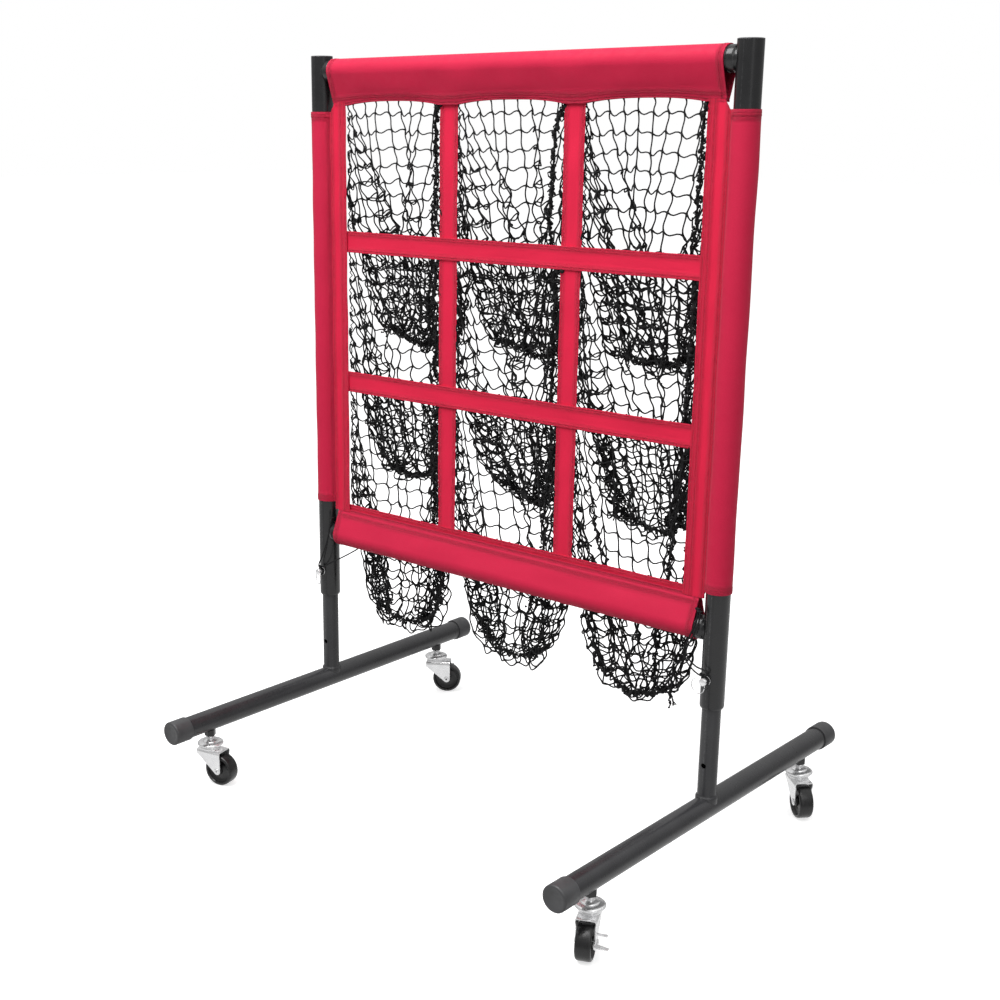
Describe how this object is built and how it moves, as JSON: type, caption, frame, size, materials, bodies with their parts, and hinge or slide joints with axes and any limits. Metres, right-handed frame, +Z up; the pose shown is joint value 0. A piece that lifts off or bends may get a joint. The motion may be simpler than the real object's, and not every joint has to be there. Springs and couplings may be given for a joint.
{
  "type": "pitching target net",
  "caption": "Rolling pitching target: a red fabric face of framed openings with a net pocket behind each, sleeved on a steel frame with telescoping posts and caster legs.",
  "frame": {"origin": "on the floor under the middle of the assembly's outline, at rest", "axes": "+Z up; the red face looks along -Y and the net pockets hang towards +Y; +X to the right, seen from the front"},
  "size_m": [0.9272, 0.79, 1.273],
  "materials": {
    "coated_steel": "satin charcoal black powder coat",
    "black_plastic": "matte moulded",
    "red_fabric": "satin woven polyester",
    "black_net": "knotted braided twine",
    "zinc_steel": "bright zinc plate",
    "wheel_rubber": "semi-gloss black"
  },
  "bodies": {
    "left_base": {"lower_post_left": "coated_steel", "leg_tube_left": "coated_steel", "leg_cap_front_left": "black_plastic", "caster_nut_front_left": "black_plastic", "caster_race_front_left": "zinc_steel", "leg_cap_back_left": "black_plastic", "caster_nut_back_left": "black_plastic", "caster_race_back_left": "zinc_steel"},
    "frame": {"upright_left": "coated_steel", "upright_cap_left": "black_plastic", "left_sleeve": "red_fabric", "tether_left": "black_net", "upright_right": "coated_steel", "upright_cap_right": "black_plastic", "right_sleeve": "red_fabric", "tether_right": "black_net", "top_crossbar": "coated_steel", "top_sleeve": "red_fabric", "crossbar_saddle_top_left": "black_plastic", "crossbar_saddle_top_right": "black_plastic", "bottom_crossbar": "coated_steel", "bottom_sleeve": "red_fabric", "crossbar_saddle_bottom_left": "black_plastic", "crossbar_saddle_bottom_right": "black_plastic", "target_panel": "red_fabric", "net_pocket_top_left": "black_net", "net_pocket_top_centre": "black_net", "net_pocket_top_right": "black_net", "net_pocket_middle_left": "black_net", "net_pocket_middle_centre": "black_net", "net_pocket_middle_right": "black_net", "net_pocket_bottom_left": "black_net", "net_pocket_bottom_centre": "black_net", "net_pocket_bottom_right": "black_net"},
    "right_base": {"lower_post_right": "coated_steel", "leg_tube_right": "coated_steel", "leg_cap_front_right": "black_plastic", "caster_nut_front_right": "black_plastic", "caster_race_front_right": "zinc_steel", "leg_cap_back_right": "black_plastic", "caster_nut_back_right": "black_plastic", "caster_race_back_right": "zinc_steel"},
    "pin_left": {"lock_pin_left": "zinc_steel", "pin_ring_left": "zinc_steel"},
    "pin_right": {"lock_pin_right": "zinc_steel", "pin_ring_right": "zinc_steel"},
    "swivel_front_left": {"caster_fork_front_left": "zinc_steel", "caster_axle_front_left": "zinc_steel"},
    "wheel_front_left": {"caster_wheel_front_left": "wheel_rubber"},
    "swivel_front_right": {"caster_fork_front_right": "zinc_steel", "caster_axle_front_right": "zinc_steel"},
    "wheel_front_right": {"caster_wheel_front_right": "wheel_rubber"},
    "brake_front_right": {"brake_lever_front_right": "zinc_steel"},
    "swivel_back_left": {"caster_fork_back_left": "zinc_steel", "caster_axle_back_left": "zinc_steel"},
    "wheel_back_left": {"caster_wheel_back_left": "wheel_rubber"},
    "brake_back_left": {"brake_lever_back_left": "zinc_steel"},
    "swivel_back_right": {"caster_fork_back_right": "zinc_steel", "caster_axle_back_right": "zinc_steel"},
    "wheel_back_right": {"caster_wheel_back_right": "wheel_rubber"}
  },
  "joints": [
    {"name": "height_left", "type": "slide", "parent": "left_base", "child": "frame", "axis": [0, 0, 1], "range_m": [-0.1445, 0]},
    {"name": "height_right", "type": "slide", "parent": "frame", "child": "right_base", "axis": [0, 0, 1], "range_m": [0, 0.1445]},
    {"name": "lock_pin_left_pull", "type": "slide", "parent": "frame", "child": "pin_left", "axis": [0, -1, 0], "range_m": [0, 0.055]},
    {"name": "lock_pin_right_pull", "type": "slide", "parent": "frame", "child": "pin_right", "axis": [0, -1, 0], "range_m": [0, 0.055]},
    {"name": "caster_front_left_swivel", "type": "hinge", "parent": "left_base", "child": "swivel_front_left", "pos_m": [-0.4379, -0.307, 0.07], "axis": [0, 0, 1], "continuous": true},
    {"name": "caster_front_left_roll", "type": "hinge", "parent": "swivel_front_left", "child": "wheel_front_left", "pos_m": [-0.41491, -0.30211, 0.029], "axis": [-0.2079, 0.9781, 0], "continuous": true},
    {"name": "caster_front_right_swivel", "type": "hinge", "parent": "right_base", "child": "swivel_front_right", "pos_m": [0.4121, -0.307, 0.07], "axis": [0, 0, 1], "continuous": true},
    {"name": "caster_front_right_roll", "type": "hinge", "parent": "swivel_front_right", "child": "wheel_front_right", "pos_m": [0.42203, -0.3283, 0.029], "axis": [0.9063, 0.4226, 0], "continuous": true},
    {"name": "brake_front_right_tilt", "type": "hinge", "parent": "swivel_front_right", "child": "brake_front_right", "pos_m": [0.42203, -0.3283, 0.029], "axis": [0.9063, 0.4226, 0], "range_deg": [0, 25]},
    {"name": "caster_back_left_swivel", "type": "hinge", "parent": "left_base", "child": "swivel_back_left", "pos_m": [-0.4379, 0.307, 0.07], "axis": [0, 0, 1], "continuous": true},
    {"name": "caster_back_left_roll", "type": "hinge", "parent": "swivel_back_left", "child": "wheel_back_left", "pos_m": [-0.41865, 0.32048, 0.029], "axis": [-0.5736, 0.8192, 0], "continuous": true},
    {"name": "brake_back_left_tilt", "type": "hinge", "parent": "swivel_back_left", "child": "brake_back_left", "pos_m": [-0.41865, 0.32048, 0.029], "axis": [-0.5736, 0.8192, 0], "range_deg": [0, 25]},
    {"name": "caster_back_right_swivel", "type": "hinge", "parent": "right_base", "child": "swivel_back_right", "pos_m": [0.4121, 0.307, 0.07], "axis": [0, 0, 1], "continuous": true},
    {"name": "caster_back_right_roll", "type": "hinge", "parent": "swivel_back_right", "child": "wheel_back_right", "pos_m": [0.42956, 0.29128, 0.029], "axis": [0.6691, 0.7431, 0], "continuous": true}
  ],
  "couplings": [
    {"joint": "height_right", "follows": "height_left", "ratio": -1}
  ]
}
